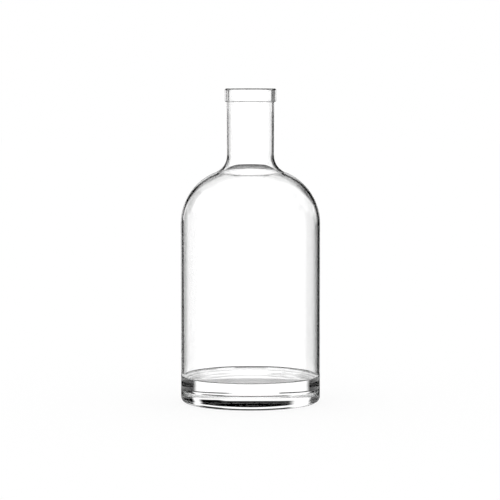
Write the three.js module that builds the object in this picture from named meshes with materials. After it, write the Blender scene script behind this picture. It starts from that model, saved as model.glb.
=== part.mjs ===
// A clear glass bottle with a cork-top mouth, blown as one piece: a heavy base, a straight
// round body, a domed shoulder, a short neck and a plain banded lip. Millimetres, +Z up, with
// the origin at the centre of the foot. The mouth is open, and nothing is in it.
import * as THREE from "three";

// Outside of the body, shoulder and neck
const BODY_DIAMETER = 92;
const BODY_HEIGHT = 118.3; // from the foot to where the shoulder starts to curve in
const SHOULDER_RADIUS = 36.4;
const SHOULDER_TO_NECK_RADIUS = 11.8;
const NECK_DIAMETER_LOW = 31;
const NECK_DIAMETER_HIGH = 31.3;
const NECK_LENGTH = 35.4; // the nearly straight stretch below the lip

// The lip
const LIP_DIAMETER = 33.8;
const LIP_HEIGHT = 8.7;
const LIP_TOP_ROUNDING = 1.2;
const LIP_UNDER_ROUNDING = 0.8;

// The foot
const HEEL_RADIUS = 3.5;
const FOOT_RING_WIDTH = 2.2; // the flat ring that the bottle stands on
const PUSH_UP_HEIGHT = 3.2; // the hollow under the base

// Inside of the body
const WALL = 1.5;
const SHOULDER_WALL = 1.8; // how much smaller the dome's inner radius is than its outer one
const BASE_THICKNESS = 14.2; // glass over the top of the push-up, at the axis
const FLOOR_CROWN = 0.2; // how far the inside floor rises towards the axis
const FLOOR_CORNER_RADIUS = 0.8;

// Inside of the neck
const INNER_SHOULDER_TO_NECK_RADIUS = 12.8;
const BORE_DIAMETER = 29; // one straight bore, from the shoulder to the mouth
const MOUTH_ROUNDING = 0.6;

// Facets
const TURNS = 64;
const FACET_ERROR = 0.07; // how far a facet may lie off the arc that it follows
const FEWEST_FACETS = 2;

const { degToRad, radToDeg } = THREE.MathUtils;

const bodyRadius = BODY_DIAMETER / 2;
const innerRadius = bodyRadius - WALL;
const lipRadius = LIP_DIAMETER / 2;
const boreRadius = BORE_DIAMETER / 2;
const neckRadiusLow = NECK_DIAMETER_LOW / 2;
const neckRadiusHigh = NECK_DIAMETER_HIGH / 2;

const outerShoulder = shoulder(
  bodyRadius, BODY_HEIGHT, SHOULDER_RADIUS, neckRadiusLow, SHOULDER_TO_NECK_RADIUS,
);
const innerShoulder = shoulder(
  innerRadius, BODY_HEIGHT, SHOULDER_RADIUS - SHOULDER_WALL, boreRadius,
  INNER_SHOULDER_TO_NECK_RADIUS,
);
const lipFoot = outerShoulder.top + NECK_LENGTH;
const height = lipFoot + LIP_HEIGHT;

// Points of an arc about (r, z), both ends included. Angles in degrees, 0 outwards, 90 up.
function arc(r, z, radius, from, to) {
  const step = 2 * radToDeg(Math.acos(1 - FACET_ERROR / radius));
  const facets = Math.max(FEWEST_FACETS, Math.ceil(Math.abs(to - from) / step));
  return Array.from({ length: facets + 1 }, (_, i) => {
    const angle = degToRad(from + ((to - from) * i) / facets);
    return new THREE.Vector2(r + radius * Math.cos(angle), z + radius * Math.sin(angle));
  });
}

// A shallow dome from its peak on the axis, at the given height, out to a lower rim.
function crown(rimRadius, peakHeight, rise) {
  const radius = (rimRadius ** 2 + rise ** 2) / (2 * rise);
  const halfAngle = radToDeg(Math.asin(rimRadius / radius));
  const points = arc(0, peakHeight - radius, radius, 90, 90 - halfAngle);
  points[0].x = 0;
  return points;
}

// The S of a shoulder: an arc that leaves a wall, then the opposite arc that meets a neck.
function shoulder(wallRadius, startHeight, domeRadius, neckRadius, filletRadius) {
  const domeCentre = wallRadius - domeRadius;
  const filletCentre = neckRadius + filletRadius;
  const across = filletCentre - domeCentre;
  const rise = Math.sqrt((domeRadius + filletRadius) ** 2 - across ** 2);
  const meeting = radToDeg(Math.atan2(rise, across));
  const top = startHeight + rise;
  const points = [
    ...arc(domeCentre, startHeight, domeRadius, 0, meeting),
    ...arc(filletCentre, top, filletRadius, 180 + meeting, 180).slice(1),
  ];
  return { points, top };
}

// The hollow under the base, the flat foot ring and the rounded heel.
function footOutline() {
  const heelCentre = bodyRadius - HEEL_RADIUS;
  return [
    ...crown(heelCentre - FOOT_RING_WIDTH, PUSH_UP_HEIGHT, PUSH_UP_HEIGHT),
    ...arc(heelCentre, HEEL_RADIUS, HEEL_RADIUS, -90, 0),
  ];
}

// The band at the top, with its edges rounded, over the mouth and down into the bore.
function lipOutline() {
  const underCentre = lipRadius - LIP_UNDER_ROUNDING;
  const topCentre = lipRadius - LIP_TOP_ROUNDING;
  const mouthCentre = boreRadius + MOUTH_ROUNDING;
  return [
    new THREE.Vector2(neckRadiusHigh, lipFoot),
    ...arc(underCentre, lipFoot + LIP_UNDER_ROUNDING, LIP_UNDER_ROUNDING, -90, 0),
    ...arc(topCentre, height - LIP_TOP_ROUNDING, LIP_TOP_ROUNDING, 0, 90),
    ...arc(mouthCentre, height - MOUTH_ROUNDING, MOUTH_ROUNDING, 90, 180),
  ];
}

// The inside below the bore: the shoulder, the wall and the floor.
function insideOutline() {
  const floorPeak = PUSH_UP_HEIGHT + BASE_THICKNESS;
  const cornerCentre = innerRadius - FLOOR_CORNER_RADIUS;
  const cornerHeight = floorPeak - FLOOR_CROWN + FLOOR_CORNER_RADIUS;
  return [
    ...innerShoulder.points.toReversed(),
    ...arc(cornerCentre, cornerHeight, FLOOR_CORNER_RADIUS, 0, -90),
    ...crown(cornerCentre, floorPeak, FLOOR_CROWN).toReversed().slice(1),
  ];
}

function makeBottle() {
  const outline = [
    ...footOutline(), ...outerShoulder.points, ...lipOutline(), ...insideOutline(),
  ];
  // A lathe turns its outline about +Y, so the solid is tipped up to stand along +Z.
  const geometry = new THREE.LatheGeometry(outline, TURNS).rotateX(Math.PI / 2);
  const glass = new THREE.MeshStandardMaterial({
    color: 0xf2f5f4,
    roughness: 0.02,
    metalness: 0,
    transparent: true,
    opacity: 0.35,
  });
  const mesh = new THREE.Mesh(geometry, glass);
  mesh.name = "bottle";
  return mesh;
}

const corkTopBottle = new THREE.Group();
corkTopBottle.add(makeBottle());

export default corkTopBottle;
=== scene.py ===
"""A clear glass bottle with a cork-top mouth, turned in fine glass and lit on a bright stage.

The bottle is one blown piece. Its outline is drawn as a wire of straight runs and arcs, foot
first, and spun about the upright axis. The stage is a pale floor in a white room. Black cloths
far off and two black flags near the bottle draw the glass's dark edges, and two white walls
give its soft reflections, as in a glass photographer's studio. Only the glass shows them.
"""

import logging
import math
from dataclasses import dataclass
from enum import Enum
from typing import Any

import bmesh
import bpy
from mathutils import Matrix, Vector


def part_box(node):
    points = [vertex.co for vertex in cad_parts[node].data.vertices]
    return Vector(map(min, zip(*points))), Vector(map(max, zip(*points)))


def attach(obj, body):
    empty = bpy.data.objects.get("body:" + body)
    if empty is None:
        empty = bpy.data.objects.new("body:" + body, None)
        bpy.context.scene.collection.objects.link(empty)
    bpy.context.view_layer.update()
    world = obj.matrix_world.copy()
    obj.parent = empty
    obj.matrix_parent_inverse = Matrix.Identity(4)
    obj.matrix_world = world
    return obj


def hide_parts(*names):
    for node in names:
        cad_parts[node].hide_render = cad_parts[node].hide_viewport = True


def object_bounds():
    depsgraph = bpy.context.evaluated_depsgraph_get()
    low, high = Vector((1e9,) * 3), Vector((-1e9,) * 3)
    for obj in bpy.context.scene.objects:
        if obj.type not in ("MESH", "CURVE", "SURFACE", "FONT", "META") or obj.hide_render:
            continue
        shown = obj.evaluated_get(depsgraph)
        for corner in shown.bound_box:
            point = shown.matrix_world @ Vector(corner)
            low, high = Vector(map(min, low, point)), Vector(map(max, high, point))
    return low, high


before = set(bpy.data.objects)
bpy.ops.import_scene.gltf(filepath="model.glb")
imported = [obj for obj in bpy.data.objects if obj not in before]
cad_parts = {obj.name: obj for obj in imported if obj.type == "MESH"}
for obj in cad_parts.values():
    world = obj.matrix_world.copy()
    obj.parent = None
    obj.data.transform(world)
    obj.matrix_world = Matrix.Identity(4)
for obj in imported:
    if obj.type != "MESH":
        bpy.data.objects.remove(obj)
CAD_LOW, CAD_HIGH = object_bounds()

LOG = logging.getLogger("bottle")
MM = 0.001
GLASS_BOUNCES = 32


class Seen(Enum):
    """Which rays meet a piece of the stage."""

    BY_GLASS = "reflections and refractions"
    BY_EYE = "the camera and diffuse light"


class Side(Enum):
    """Where a near flag stands, by the axis that its cloth runs along."""

    BEHIND = "X"
    LEFT = "Y"


class Value:
    """A number that varies over a surface: an output socket that takes Python's arithmetic."""

    def __init__(self, graph: "Graph", socket: bpy.types.NodeSocket | None) -> None:
        """Wraps a socket.

        Args:
            graph: The graph that the socket belongs to.
            socket: A node's output, or nothing for a node that has none.
        """
        self.graph = graph
        self.socket = socket

    def _math(self, operation: str, first: Any, second: Any) -> "Value":
        """Adds a Math node.

        Args:
            operation: The node's operation.
            first: Its first input, a value or a number.
            second: Its second input, a value or a number.

        Returns:
            The node's result.
        """
        return self.graph.node("ShaderNodeMath", {"operation": operation}, {0: first, 1: second})

    def __add__(self, other: Any) -> "Value":
        """The sum with another value or number."""
        return self._math("ADD", self, other)

    __radd__ = __add__

    def __sub__(self, other: Any) -> "Value":
        """This less another value or number."""
        return self._math("SUBTRACT", self, other)

    def __rsub__(self, other: Any) -> "Value":
        """Another value or number less this."""
        return self._math("SUBTRACT", other, self)

    def __mul__(self, other: Any) -> "Value":
        """The product with another value or number."""
        return self._math("MULTIPLY", self, other)

    __rmul__ = __mul__

    def __or__(self, other: Any) -> "Value":
        """The larger of this and another value or number."""
        return self._math("MAXIMUM", self, other)

    def __and__(self, other: Any) -> "Value":
        """The smaller of this and another value or number."""
        return self._math("MINIMUM", self, other)

    def arcsine(self) -> "Value":
        """The angle whose sine this is, in radians."""
        return self._math("ARCSINE", self, 0.0)

    def angle_from(self, along: "Value") -> "Value":
        """The angle in radians of a point this far across and the given distance along."""
        return self._math("ARCTAN2", self, along)

    def past(self, edge: float, softness: float) -> "Value":
        """Zero below an edge and one above it, with a smooth change.

        Args:
            edge: Where the middle of the change is.
            softness: How wide the change is.

        Returns:
            The result.
        """
        return self.graph.node(
            "ShaderNodeMapRange",
            {"interpolation_type": "SMOOTHSTEP"},
            {"Value": self, "From Min": edge - softness / 2, "From Max": edge + softness / 2},
        )

    def between(self, low: "Edge", high: "Edge") -> "Value":
        """One between two edges and zero outside them."""
        return self.past(low.at, low.softness) * (1 - self.past(high.at, high.softness))


@dataclass(frozen=True)
class Edge:
    """Where something starts or ends, and how wide its change is."""

    at: float
    softness: float


class Graph:
    """The nodes of one material or of the world."""

    def __init__(self, tree: bpy.types.NodeTree) -> None:
        """Empties the tree.

        Args:
            tree: The node tree to fill.
        """
        self.tree = tree
        tree.nodes.clear()

    def node(
        self,
        kind: str,
        settings: dict[str, Any] | None = None,
        inputs: dict[str | int, Any] | None = None,
        output: str | int = 0,
    ) -> Value:
        """Adds a node.

        Args:
            kind: The node's type.
            settings: The node's own settings, which are made first.
            inputs: What each socket holds or is linked to, by its name or place.
            output: The output that is handed back, by its name or place.

        Returns:
            That output, as a value.
        """
        made = self.tree.nodes.new(kind)
        for name, setting in (settings or {}).items():
            setattr(made, name, setting)
        for name, content in (inputs or {}).items():
            if isinstance(content, Value):
                self.tree.links.new(content.socket, made.inputs[name])
            else:
                made.inputs[name].default_value = content
        outputs = made.outputs
        return Value(self, outputs[output]) if len(outputs) else Value(self, None)

    def seen_by_eye(self) -> Value:
        """One for rays that come straight from the camera, and zero for other rays."""
        return self.node("ShaderNodeLightPath", output="Is Camera Ray")

    def seen_in_glass(self) -> Value:
        """One for rays off or through glass, and zero for other rays."""
        return self.node("ShaderNodeLightPath", output="Is Glossy Ray") | self.seen_through_glass()

    def seen_through_glass(self) -> Value:
        """One for rays that come out of glass, and zero for other rays."""
        return self.node("ShaderNodeLightPath", output="Is Transmission Ray")


@dataclass(frozen=True)
class ClearGlass:
    """Colourless soda-lime glass, blown: smooth, with the faint unevenness of a mould."""

    index: float = 1.52
    tint: tuple[float, float, float, float] = (0.86, 0.95, 0.9, 1.0)
    absorption: float = 0.35
    roughest: float = 0.012
    haze_scale: float = 90.0
    wave_size: float = 35.0 * MM
    wave_height: float = 0.01 * MM

    def material(self, name: str) -> bpy.types.Material:
        """Makes the glass.

        Args:
            name: The material's name.

        Returns:
            The material.
        """
        material = bpy.data.materials.new(name)
        material.use_nodes = True
        graph = Graph(material.node_tree)
        place = graph.node("ShaderNodeTexCoord", output="Object")
        waves = graph.node(
            "ShaderNodeTexNoise", {}, {"Vector": place, "Scale": 1 / self.wave_size, "Detail": 1.0}
        )
        haze = graph.node(
            "ShaderNodeTexNoise", {}, {"Vector": place, "Scale": self.haze_scale, "Detail": 4.0}
        )
        relief = graph.node(
            "ShaderNodeBump", {}, {"Height": waves, "Distance": self.wave_height, "Strength": 1.0}
        )
        glass = graph.node(
            "ShaderNodeBsdfPrincipled",
            {},
            {
                "Base Color": (1.0, 1.0, 1.0, 1.0),
                "Transmission Weight": 1.0,
                "IOR": self.index,
                "Roughness": haze * self.roughest,
                "Normal": relief,
            },
        )
        depth = graph.node(
            "ShaderNodeVolumeAbsorption", {}, {"Color": self.tint, "Density": self.absorption}
        )
        graph.node("ShaderNodeOutputMaterial", {}, {"Surface": glass, "Volume": depth})
        return material


@dataclass(frozen=True)
class PaleFloor:
    """A pale matt floor that shows as white, and keeps a faint shadow."""

    albedo: float = 0.88
    own_light: float = 0.86

    def material(self, name: str) -> bpy.types.Material:
        """Makes the floor's finish.

        Args:
            name: The material's name.

        Returns:
            The material.
        """
        material = bpy.data.materials.new(name)
        material.use_nodes = True
        graph = Graph(material.node_tree)
        matt = graph.node("ShaderNodeBsdfDiffuse", {}, {"Color": (*[self.albedo] * 3, 1.0)})
        glow = graph.node("ShaderNodeEmission", {}, {"Color": (1, 1, 1, 1), "Strength": 1.0})
        share = (graph.seen_by_eye() | graph.seen_in_glass()) * self.own_light
        mixed = graph.node("ShaderNodeMixShader", {}, {0: share, 1: matt, 2: glow})
        graph.node("ShaderNodeOutputMaterial", {}, {"Surface": mixed})
        return material


@dataclass(frozen=True)
class FlagCloth:
    """Black cloth on both sides of an opening: wide at the body, narrow above, wider at the lip.

    Sides and ends are distances from the bottle's axis, to its left or right, and the rest are
    heights over the floor.
    """

    side: Side
    body_left: float = 90.0 * MM
    body_right: float = 79.0 * MM
    neck_left: float = 64.0 * MM
    neck_right: float = 54.0 * MM
    narrowing: Edge = Edge(138.0 * MM, 18.0 * MM)
    lip: Edge = Edge(192.0 * MM, 6.0 * MM)
    lip_widening: float = 19.0 * MM
    left_softness: float = 12.0 * MM
    right_softness: float = 26.0 * MM
    left_end: Edge = Edge(120.0 * MM, 16.0 * MM)
    right_end: Edge = Edge(150.0 * MM, 24.0 * MM)
    low: Edge = Edge(100.0 * MM, 8.0 * MM)
    high: Edge = Edge(235.0 * MM, 10.0 * MM)

    def material(self, name: str) -> bpy.types.Material:
        """Makes the cloth.

        Args:
            name: The material's name.

        Returns:
            The material.
        """
        material = bpy.data.materials.new(name)
        material.use_nodes = True
        graph = Graph(material.node_tree)
        place = graph.node("ShaderNodeTexCoord", output="Object")
        split = "ShaderNodeSeparateXYZ"
        across = graph.node(split, {}, {"Vector": place}, self.side.value)
        height = graph.node(split, {}, {"Vector": place}, "Z")
        cover = self.beside(across, height) * height.between(self.low, self.high)
        black = graph.node("ShaderNodeEmission", {}, {"Color": (0, 0, 0, 1), "Strength": 0.0})
        gap = graph.node("ShaderNodeBsdfTransparent", {}, {"Color": (1, 1, 1, 1)})
        cloth = graph.node("ShaderNodeMixShader", {}, {0: cover, 1: gap, 2: black})
        graph.node("ShaderNodeOutputMaterial", {}, {"Surface": cloth})
        return material

    def beside(self, across: Value, height: Value) -> Value:
        """Where the black cloth is, left and right of the opening.

        Args:
            across: The distance to the right of the bottle's axis.
            height: The height over the floor.

        Returns:
            One on the cloth and zero off it.
        """
        narrow = height.past(self.narrowing.at, self.narrowing.softness)
        wider = height.past(self.lip.at, self.lip.softness) * self.lip_widening
        right = self.body_right - narrow * (self.body_right - self.neck_right) + wider
        left = self.body_left - narrow * (self.body_left - self.neck_left) + wider
        across_left = across * -1.0
        on_right = (across - right).past(0.0, self.right_softness)
        on_left = (across_left - left).past(0.0, self.left_softness)
        on_right = on_right * (1 - across.past(self.right_end.at, self.right_end.softness))
        on_left = on_left * (1 - across_left.past(self.left_end.at, self.left_end.softness))
        return on_right + on_left


class Outline:
    """A wire in the upright plane of X and Z that grows from its tip."""

    # Short edges at both ends of a straight run keep its shading true next to an arc.
    END_EDGE = 0.12 * MM
    LARGEST_END = 0.25
    MERGE = 0.001 * MM

    def __init__(self, mesh: bmesh.types.BMesh, r: float, z: float) -> None:
        """Sets the first vertex.

        Args:
            mesh: The mesh that the wire is made in.
            r: The vertex's distance from the axis.
            z: Its height.
        """
        self.mesh = mesh
        self.tip = bmesh.ops.create_vert(mesh, co=(r, 0.0, z))["vert"][0]

    def run_to(self, r: float, z: float, parts: int = 1) -> None:
        """Draws a straight run from the tip.

        Args:
            r: The end's distance from the axis.
            z: The end's height.
            parts: How many even edges the run has.
        """
        start = self.tip.co.copy()
        run = Vector((r, 0.0, z)) - start
        end = min(self.END_EDGE / run.length, self.LARGEST_END)
        stops = [end, *(part / parts for part in range(1, parts)), 1.0 - end, 1.0]
        for stop in stops:
            self.tip = bmesh.ops.extrude_vert_indiv(self.mesh, verts=[self.tip])["verts"][0]
            bmesh.ops.translate(self.mesh, verts=[self.tip], vec=start + run * stop - self.tip.co)

    def turn(self, r: float, z: float, angle: float, parts: int) -> None:
        """Draws an arc from the tip.

        Args:
            r: The centre's distance from the axis.
            z: The centre's height.
            angle: How far the arc turns, in radians, positive from +X towards +Z.
            parts: How many edges the arc has.
        """
        made = bmesh.ops.spin(
            self.mesh, geom=[self.tip], cent=(r, 0.0, z), axis=(0.0, -1.0, 0.0), angle=angle, steps=parts
        )
        self.tip = next(v for v in made["geom_last"] if isinstance(v, bmesh.types.BMVert))

    def spin_round(self, steps: int) -> None:
        """Spins the wire into a solid about the upright axis, and closes its poles.

        Args:
            steps: How many steps the full turn has.
        """
        mesh = self.mesh
        bmesh.ops.spin(
            mesh,
            geom=mesh.verts[:] + mesh.edges[:],
            cent=(0.0, 0.0, 0.0),
            axis=(0.0, 0.0, 1.0),
            angle=math.tau,
            steps=steps,
            use_merge=True,
        )
        bmesh.ops.remove_doubles(mesh, verts=mesh.verts[:], dist=self.MERGE)
        bmesh.ops.recalc_face_normals(mesh, faces=mesh.faces[:])


@dataclass(frozen=True)
class Shoulder:
    """The S of a shoulder: an arc that leaves a wall, then the opposite arc into a neck."""

    wall_radius: float
    start: float
    dome_radius: float
    neck_radius: float
    fillet_radius: float

    @property
    def dome_centre(self) -> float:
        """The dome's centre, as a distance from the axis."""
        return self.wall_radius - self.dome_radius

    @property
    def fillet_centre(self) -> float:
        """The fillet's centre, as a distance from the axis."""
        return self.neck_radius + self.fillet_radius

    @property
    def rise(self) -> float:
        """The height of the fillet's centre over the dome's."""
        across = self.fillet_centre - self.dome_centre
        return math.sqrt((self.dome_radius + self.fillet_radius) ** 2 - across**2)

    @property
    def meeting(self) -> float:
        """The angle at which the two arcs meet, in radians over the level."""
        return math.atan2(self.rise, self.fillet_centre - self.dome_centre)

    @property
    def top(self) -> float:
        """The height at which the neck starts."""
        return self.start + self.rise


@dataclass
class GlassBottle:
    """The bottle, one piece of glass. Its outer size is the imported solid's."""

    radius: float
    height: float
    # outside
    lip_height: float = 8.7 * MM
    lip_radius: float = 16.9 * MM
    lip_top_rounding: float = 1.2 * MM
    lip_under_rounding: float = 0.8 * MM
    lip_corner: float = 0.3 * MM
    neck_length: float = 35.4 * MM
    neck_radius_high: float = 15.65 * MM
    neck_radius_low: float = 15.5 * MM
    neck_fillet: float = 11.8 * MM
    shoulder_radius: float = 36.4 * MM
    heel_radius: float = 3.5 * MM
    # foot
    ring_width: float = 2.2 * MM
    push_up: float = 3.2 * MM
    # inside
    wall: float = 1.5 * MM
    shoulder_wall: float = 1.8 * MM
    base_thickness: float = 14.2 * MM
    floor_crown: float = 0.2 * MM
    floor_corner: float = 0.8 * MM
    inner_fillet: float = 12.8 * MM
    bore: float = 14.5 * MM
    mouth_rounding: float = 0.6 * MM
    # steps of the full turn, then edges of each arc and of each straight run
    turns: int = 256
    large_arc: int = 24
    floor_arc: int = 16
    lip_arc: int = 8
    lip_under_arc: int = 6
    lip_corner_arc: int = 4
    wall_runs: int = 12
    neck_runs: int = 6
    ring_runs: int = 4

    def build(self, finish: ClearGlass) -> bpy.types.Object:
        """Makes the bottle and dresses it.

        Args:
            finish: The glass.

        Returns:
            The finished piece.
        """
        mesh = bmesh.new()
        outline = self.foot(mesh)
        outer = self.outer_shoulder()
        outline.run_to(self.radius, outer.start, self.wall_runs)
        self.climb(outline, outer)
        self.lip(outline, outer.top)
        self.inside(outline)
        outline.spin_round(self.turns)
        for face in mesh.faces:
            face.smooth = True
        data = bpy.data.meshes.new("clear_bottle")
        mesh.to_mesh(data)
        mesh.free()
        data.materials.append(finish.material("clear_glass"))
        piece = bpy.data.objects.new("clear_bottle", data)
        bpy.context.scene.collection.objects.link(piece)
        return piece

    def outer_shoulder(self) -> Shoulder:
        """The shoulder's outside, hung from the lip so that the heights add up."""
        level = Shoulder(self.radius, 0.0, self.shoulder_radius, self.neck_radius_low, self.neck_fillet)
        start = self.height - self.lip_height - self.neck_length - level.rise
        return Shoulder(self.radius, start, self.shoulder_radius, self.neck_radius_low, self.neck_fillet)

    def inner_shoulder(self) -> Shoulder:
        """The shoulder's inside, which leaves the wall at the outside's height."""
        start = self.outer_shoulder().start
        dome = self.shoulder_radius - self.shoulder_wall
        return Shoulder(self.radius - self.wall, start, dome, self.bore, self.inner_fillet)

    def foot(self, mesh: bmesh.types.BMesh) -> Outline:
        """Draws the hollow under the base, the ring it stands on and the heel.

        Args:
            mesh: The mesh that the outline is made in.

        Returns:
            The outline, with its tip at the top of the heel.
        """
        heel = self.radius - self.heel_radius
        rim = heel - self.ring_width
        dome = (rim**2 + self.push_up**2) / (2 * self.push_up)
        outline = Outline(mesh, 0.0, self.push_up)
        outline.turn(0.0, self.push_up - dome, -math.asin(rim / dome), self.large_arc)
        outline.run_to(heel, 0.0, self.ring_runs)
        outline.turn(heel, self.heel_radius, math.pi / 2, self.large_arc)
        return outline

    def climb(self, outline: Outline, shoulder: Shoulder) -> None:
        """Draws a shoulder from its foot to its top.

        Args:
            outline: The outline, with its tip at the shoulder's foot.
            shoulder: The shoulder.
        """
        outline.turn(shoulder.dome_centre, shoulder.start, shoulder.meeting, self.large_arc)
        outline.turn(shoulder.fillet_centre, shoulder.top, -shoulder.meeting, self.large_arc)

    def lip(self, outline: Outline, neck_foot: float) -> None:
        """Draws the neck and the band at its top, to the mouth's edge.

        Args:
            outline: The outline, with its tip at the foot of the neck.
            neck_foot: The height of that tip; not used.
        """
        quarter = math.pi / 2
        lip_foot = self.height - self.lip_height
        corner = self.neck_radius_high + self.lip_corner
        under = self.lip_radius - self.lip_under_rounding
        top = self.lip_radius - self.lip_top_rounding
        mouth = self.bore + self.mouth_rounding
        outline.run_to(self.neck_radius_high, lip_foot - self.lip_corner, self.neck_runs)
        outline.turn(corner, lip_foot - self.lip_corner, -quarter, self.lip_corner_arc)
        outline.run_to(under, lip_foot)
        outline.turn(under, lip_foot + self.lip_under_rounding, quarter, self.lip_under_arc)
        outline.run_to(self.lip_radius, self.height - self.lip_top_rounding)
        outline.turn(top, self.height - self.lip_top_rounding, quarter, self.lip_arc)
        outline.run_to(mouth, self.height)
        outline.turn(mouth, self.height - self.mouth_rounding, quarter, self.lip_arc)

    def inside(self, outline: Outline) -> None:
        """Draws the bore, the inside of the shoulder and wall, and the floor, to the axis.

        Args:
            outline: The outline, with its tip at the top of the bore.
        """
        shoulder = self.inner_shoulder()
        outline.run_to(self.bore, shoulder.top, self.neck_runs)
        outline.turn(shoulder.fillet_centre, shoulder.top, shoulder.meeting, self.large_arc)
        outline.turn(shoulder.dome_centre, shoulder.start, -shoulder.meeting, self.large_arc)
        corner = self.radius - self.wall - self.floor_corner
        peak = self.push_up + self.base_thickness
        corner_height = peak - self.floor_crown + self.floor_corner
        outline.run_to(self.radius - self.wall, corner_height, self.wall_runs)
        outline.turn(corner, corner_height, -math.pi / 2, self.floor_arc)
        crown = (corner**2 + self.floor_crown**2) / (2 * self.floor_crown)
        outline.turn(0.0, peak - crown, math.asin(corner / crown), self.floor_arc)


@dataclass
class NearFlag:
    """A black flag close to the bottle, with an opening behind the bottle's middle."""

    side: Side
    distance: float = 150.0 * MM
    half_width: float = 165.0 * MM
    low: float = 90.0 * MM
    high: float = 250.0 * MM

    def build(self) -> bpy.types.Object:
        """Makes the flag.

        Returns:
            The flag, which only rays off or through the glass meet.
        """
        mesh = bmesh.new()
        behind = self.side is Side.BEHIND
        start = (-self.half_width, self.distance) if behind else (-self.distance, -self.half_width)
        along = (2 * self.half_width, 0.0, 0.0) if behind else (0.0, 2 * self.half_width, 0.0)
        corner = bmesh.ops.create_vert(mesh, co=(*start, self.low))["vert"][0]
        end = bmesh.ops.extrude_vert_indiv(mesh, verts=[corner])["verts"]
        bmesh.ops.translate(mesh, verts=end, vec=along)
        made = bmesh.ops.extrude_edge_only(mesh, edges=mesh.edges[:])
        raised = [v for v in made["geom"] if isinstance(v, bmesh.types.BMVert)]
        bmesh.ops.translate(mesh, verts=raised, vec=(0.0, 0.0, self.high - self.low))
        name = f"flag_{self.side.name.lower()}"
        return stage_object(name, mesh, FlagCloth(self.side).material(f"{name}_cloth"), Seen.BY_GLASS)


@dataclass
class Floor:
    """The floor that the bottle stands on."""

    half_width: float = 8.0
    clearance: float = 0.05 * MM

    def build(self) -> bpy.types.Object:
        """Makes the floor.

        Returns:
            The floor, which the camera and diffuse light meet.
        """
        mesh = bmesh.new()
        bmesh.ops.create_grid(mesh, x_segments=1, y_segments=1, size=self.half_width)
        bmesh.ops.translate(mesh, verts=mesh.verts[:], vec=(0.0, 0.0, CAD_LOW.z - self.clearance))
        return stage_object("floor", mesh, PaleFloor().material("pale_floor"), Seen.BY_EYE)


@dataclass(frozen=True)
class Patch:
    """A part of the room, in degrees: turns to the right of a compass bearing, and elevations."""

    bearing: float
    left: Edge
    right: Edge
    low: Edge
    high: Edge

    def cover(self, room: "Room") -> Value:
        """How much the patch covers of each direction, from 0 to 1.

        Args:
            room: The room's directions.

        Returns:
            The cover.
        """
        sides = room.turn(self.bearing).between(self.left, self.right)
        return sides * room.elevation.between(self.low, self.high)


class Room:
    """The directions that rays leave in."""

    def __init__(self, graph: Graph) -> None:
        """Takes the directions apart.

        Args:
            graph: The world's nodes.
        """
        direction = graph.node("ShaderNodeTexCoord", output="Generated")
        split = "ShaderNodeSeparateXYZ"
        self.east = graph.node(split, {}, {"Vector": direction}, "X")
        self.north = graph.node(split, {}, {"Vector": direction}, "Y")
        self.elevation = graph.node(split, {}, {"Vector": direction}, "Z").arcsine() * math.degrees(1)
        self.turns: dict[float, Value] = {}

    def turn(self, bearing: float) -> Value:
        """How far each direction is turned to the right of a bearing, in degrees.

        Args:
            bearing: The bearing, in degrees from +X towards +Y.

        Returns:
            The turn, from -180 to 180.
        """
        if bearing not in self.turns:
            angle = math.radians(bearing)
            along = self.east * math.cos(angle) + self.north * math.sin(angle)
            across = self.east * math.sin(angle) - self.north * math.cos(angle)
            self.turns[bearing] = across.angle_from(along) * math.degrees(1)
        return self.turns[bearing]


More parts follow.
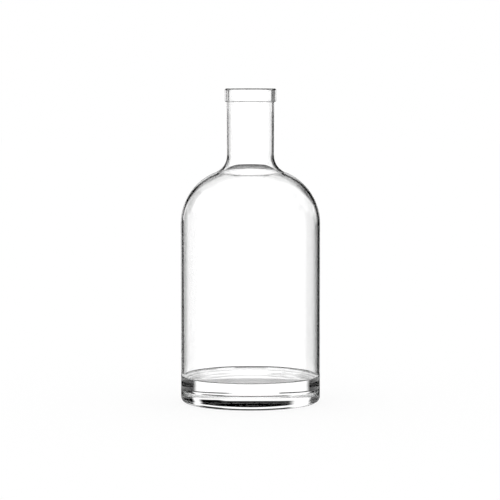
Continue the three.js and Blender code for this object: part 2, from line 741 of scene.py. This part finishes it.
@dataclass
class WhiteRoom:
    """White surroundings, with black cloths and white walls that only the glass shows."""

    # how bright the room is as a background, as a light and in the glass
    shown: float = 1.0
    shining: float = 1.15
    in_glass: float = 1.2
    # what is seen through the glass is white, but for these cloths
    cloths: tuple[Patch, ...] = (
        # left and right of the body
        Patch(90.0, Edge(-58.0, 28.0), Edge(-16.8, 3.0), Edge(-7.53, 0.08), Edge(-1.3, 1.0)),
        Patch(90.0, Edge(12.0, 9.0), Edge(66.0, 24.0), Edge(-7.53, 0.08), Edge(-1.3, 1.0)),
        # farther out on both sides, over the heel
        Patch(90.0, Edge(-84.0, 8.0), Edge(-48.0, 8.0), Edge(-7.53, 0.08), Edge(20.0, 4.0)),
        Patch(90.0, Edge(44.0, 6.0), Edge(84.0, 8.0), Edge(-7.53, 0.08), Edge(24.0, 4.0)),
        # left and right of the base
        Patch(90.0, Edge(-85.0, 8.0), Edge(-44.5, 9.0), Edge(-14.0, 2.5), Edge(-7.53, 0.08)),
        Patch(90.0, Edge(41.5, 8.0), Edge(85.0, 8.0), Edge(-14.0, 2.5), Edge(-7.53, 0.08)),
        # above the bottle, lower on the right
        Patch(90.0, Edge(-27.0, 8.0), Edge(16.0, 6.0), Edge(13.3, 4.0), Edge(34.0, 6.0)),
        Patch(90.0, Edge(16.0, 6.0), Edge(35.0, 6.0), Edge(9.5, 4.0), Edge(34.0, 6.0)),
        # below the bottle
        Patch(90.0, Edge(-28.0, 8.0), Edge(45.0, 10.0), Edge(-48.0, 4.0), Edge(-9.9, 0.4)),
        # in front: low, lower still, all round below, and high on both sides
        Patch(270.0, Edge(-28.0, 8.0), Edge(28.0, 8.0), Edge(-13.0, 2.0), Edge(-8.1, 0.2)),
        Patch(270.0, Edge(-28.0, 8.0), Edge(28.0, 8.0), Edge(-33.0, 2.0), Edge(-22.0, 2.0)),
        Patch(270.0, Edge(-130.0, 10.0), Edge(130.0, 10.0), Edge(-64.0, 4.0), Edge(-33.0, 2.0)),
        Patch(270.0, Edge(-64.0, 8.0), Edge(-30.0, 8.0), Edge(4.0, 3.0), Edge(27.0, 4.0)),
        Patch(270.0, Edge(30.0, 8.0), Edge(64.0, 8.0), Edge(4.0, 3.0), Edge(27.0, 4.0)),
        # left and right of the body, seen from the right, then seen from two corners
        Patch(180.0, Edge(-58.0, 28.0), Edge(-16.8, 3.0), Edge(-7.53, 0.08), Edge(-1.3, 1.0)),
        Patch(180.0, Edge(12.0, 9.0), Edge(66.0, 24.0), Edge(-7.53, 0.08), Edge(-1.3, 1.0)),
        Patch(135.0, Edge(-60.0, 14.0), Edge(-17.0, 6.0), Edge(-33.0, 3.0), Edge(-9.9, 0.4)),
        Patch(315.0, Edge(-60.0, 14.0), Edge(-17.0, 6.0), Edge(-25.0, 3.0), Edge(-9.0, 2.0)),
        Patch(315.0, Edge(17.0, 6.0), Edge(60.0, 14.0), Edge(-25.0, 3.0), Edge(-9.0, 2.0)),
    )
    # what the glass reflects is black, but for these white walls
    walls: tuple[Patch, ...] = (
        Patch(215.0, Edge(-75.0, 14.0), Edge(75.0, 10.0), Edge(-7.55, 0.1), Edge(40.0, 12.0)),
        Patch(0.0, Edge(-15.0, 4.0), Edge(16.0, 4.0), Edge(-7.55, 0.1), Edge(18.0, 3.0)),
    )

    def build(self) -> None:
        """Makes the world."""
        world = bpy.data.worlds.new("white_room")
        world.use_nodes = True
        bpy.context.scene.world = world
        graph = Graph(world.node_tree)
        eye, glass = graph.seen_by_eye(), graph.seen_in_glass()
        through = graph.seen_through_glass()
        room = Room(graph)
        refracted = through * (1 - self.joined(self.cloths, room))
        reflected = (1 - through) * self.joined(self.walls, room)
        plain = eye * self.shown + (1 - eye) * (1 - glass) * self.shining
        strength = plain + glass * (1 - eye) * self.in_glass * (refracted + reflected)
        white = graph.node(
            "ShaderNodeBackground", {}, {"Color": (1.0, 1.0, 1.0, 1.0), "Strength": strength}
        )
        graph.node("ShaderNodeOutputWorld", {}, {"Surface": white})

    def joined(self, patches: tuple[Patch, ...], room: Room) -> Value:
        """The cover of several patches together.

        Args:
            patches: The patches.
            room: The room's directions.

        Returns:
            The cover, from 0 to 1.
        """
        cover = patches[0].cover(room)
        for patch in patches[1:]:
            cover = cover + patch.cover(room)
        return cover & 1.0


@dataclass
class StudioCamera:
    """The camera, level with the bottle's lip, 1.4 m away and tilted down a little."""

    lens: float = 152.4
    across: float = -0.33 * MM
    distance: float = 1396.0 * MM
    height: float = 202.5 * MM
    tilt: float = 4.17
    nearest: float = 10.0 * MM
    farthest: float = 100.0

    def build(self) -> bpy.types.Object:
        """Makes the camera and gives it to the scene.

        Returns:
            The camera.
        """
        data = bpy.data.cameras.new("studio_camera")
        data.lens = self.lens
        data.clip_start = self.nearest
        data.clip_end = self.farthest
        camera = bpy.data.objects.new("studio_camera", data)
        camera.location = (self.across, -self.distance, self.height)
        camera.rotation_euler = (math.radians(90.0 - self.tilt), 0.0, 0.0)
        bpy.context.scene.collection.objects.link(camera)
        bpy.context.scene.camera = camera
        return camera


def stage_object(
    name: str, mesh: bmesh.types.BMesh, material: bpy.types.Material, seen: Seen
) -> bpy.types.Object:
    """Turns a mesh into an object of the stage.

    Args:
        name: The object's name.
        mesh: Its shape, which is freed.
        material: Its finish.
        seen: Which rays meet it.

    Returns:
        The object.
    """
    data = bpy.data.meshes.new(name)
    mesh.to_mesh(data)
    mesh.free()
    data.materials.append(material)
    made = bpy.data.objects.new(name, data)
    bpy.context.scene.collection.objects.link(made)
    by_eye = seen is Seen.BY_EYE
    made.visible_camera = by_eye
    made.visible_diffuse = by_eye
    made.visible_shadow = by_eye
    made.visible_glossy = not by_eye
    made.visible_transmission = not by_eye
    return made


def main() -> None:
    """Builds the bottle, its stage and its camera."""
    logging.basicConfig(level=logging.INFO, format="%(message)s")
    scene = bpy.context.scene
    scene.view_settings.view_transform = "Standard"
    scene.cycles.max_bounces = GLASS_BOUNCES
    scene.cycles.transmission_bounces = GLASS_BOUNCES
    scene.cycles.glossy_bounces = GLASS_BOUNCES
    StudioCamera().build()
    WhiteRoom().build()
    Floor().build()
    for side in Side:
        NearFlag(side).build()
    low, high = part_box("bottle")
    bottle = GlassBottle(radius=high.x, height=high.z - low.z).build(ClearGlass())
    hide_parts("bottle")
    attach(bottle, "root")
    LOG.info("%s: %d faces", bottle.name, len(bottle.data.polygons))


if __name__ == "__main__":
    main()
